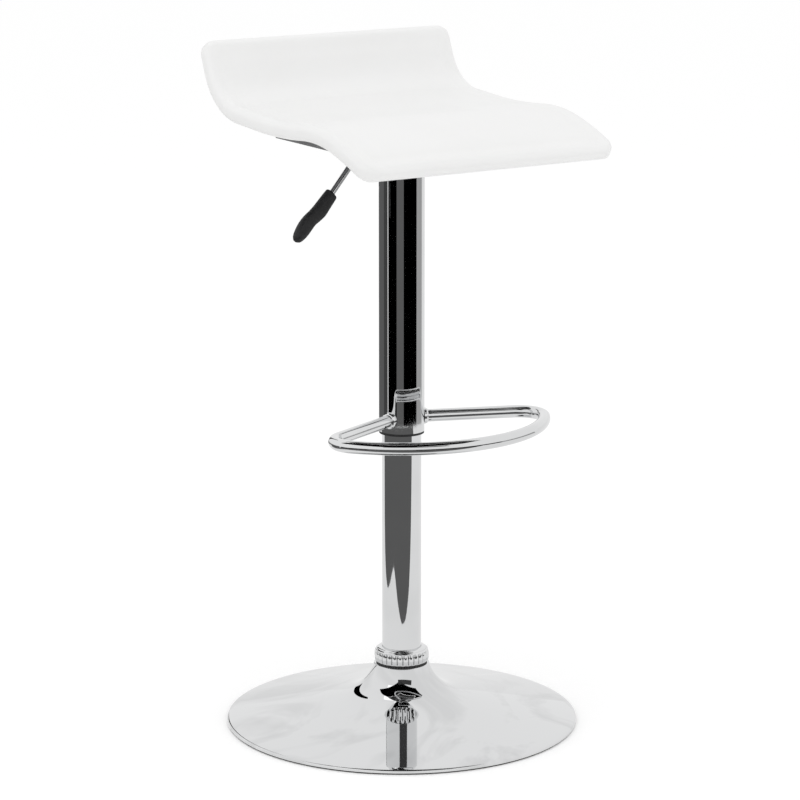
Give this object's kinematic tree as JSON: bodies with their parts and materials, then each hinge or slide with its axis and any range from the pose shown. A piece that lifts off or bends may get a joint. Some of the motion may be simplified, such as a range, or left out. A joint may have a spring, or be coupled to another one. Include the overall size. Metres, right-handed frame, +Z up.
{
  "type": "adjustable swivel stool",
  "caption": "Swivel bar stool with a wave-shaped padded seat, gas-lift column, footrest loop, side lever and round trumpet base.",
  "frame": {"origin": "on the floor, on the column's axis, under the middle of the round base", "axes": "+Z up along the column; the seat's front and the footrest face -Y and the raised lip is at +Y; the lever is on the -X side"},
  "size_m": [0.45, 0.45, 0.8704],
  "materials": {
    "chrome": "mirror chrome plate",
    "dark_steel": "satin black paint",
    "bright_steel": "zinc plated",
    "iron": "rough",
    "rubber": "matt",
    "black_plastic": "fine moulded grain",
    "grey_board": "satin",
    "plywood": "raw veneer",
    "foam": "open cell",
    "vinyl": "smooth white vinyl with a fine grain",
    "black_cloth": "non-woven dust cloth"
  },
  "bodies": {
    "base": {"base_shell": "chrome", "base_weight": "iron", "bottom_cover": "black_plastic", "floor_ring": "rubber", "base_hub": "dark_steel", "base_bolt": "bright_steel", "base_washer": "bright_steel", "tooth_washer": "dark_steel", "base_collar": "chrome", "column_tube": "chrome", "column_plug": "dark_steel", "column_floor": "dark_steel", "lower_race": "bright_steel", "thrust_bearing": "bright_steel", "column_guide": "black_plastic"},
    "spindle": {"upper_race": "bright_steel", "piston_rod": "bright_steel", "piston": "black_plastic", "rod_clip": "bright_steel", "bump_stop": "rubber"},
    "seat": {"cover_tube": "chrome", "cover_bush": "black_plastic", "footrest_ring": "chrome", "footrest_welds": "chrome", "cylinder_tube": "dark_steel", "cylinder_seal": "black_plastic", "cylinder_head": "dark_steel", "taper_socket": "dark_steel", "mechanism_housing": "dark_steel", "mounting_plate": "dark_steel", "lever_pin": "bright_steel", "mounting_bolts": "bright_steel", "spring_washers": "bright_steel", "tee_nuts": "bright_steel", "underside_panel": "grey_board", "seat_board": "plywood", "seat_foam": "foam", "seat_cover": "vinyl", "dust_cover": "black_cloth"},
    "lever": {"lever_rod": "chrome", "lever_grip": "black_plastic"},
    "button": {"release_button": "bright_steel"}
  },
  "joints": [
    {"name": "seat_swivel", "type": "hinge", "parent": "base", "child": "spindle", "pos_m": [0, 0, 0.063], "axis": [0, 0, 1], "continuous": true},
    {"name": "seat_height", "type": "slide", "parent": "spindle", "child": "seat", "axis": [0, 0, 1], "range_m": [-0.215, 0]},
    {"name": "lever_lift", "type": "hinge", "parent": "seat", "child": "lever", "pos_m": [-0.023, 0, 0.749], "axis": [0, 1, 0], "range_deg": [0, 7], "stiffness_Nm_per_rad": 1.5, "springref_deg": -5.73},
    {"name": "button_press", "type": "slide", "parent": "seat", "child": "button", "axis": [0, 0, -1], "range_m": [0, 0.0031], "stiffness_N_per_m": 1500}
  ],
  "couplings": [
    {"joint": "button_press", "follows": "lever_lift", "m_per_rad": 0.025}
  ]
}
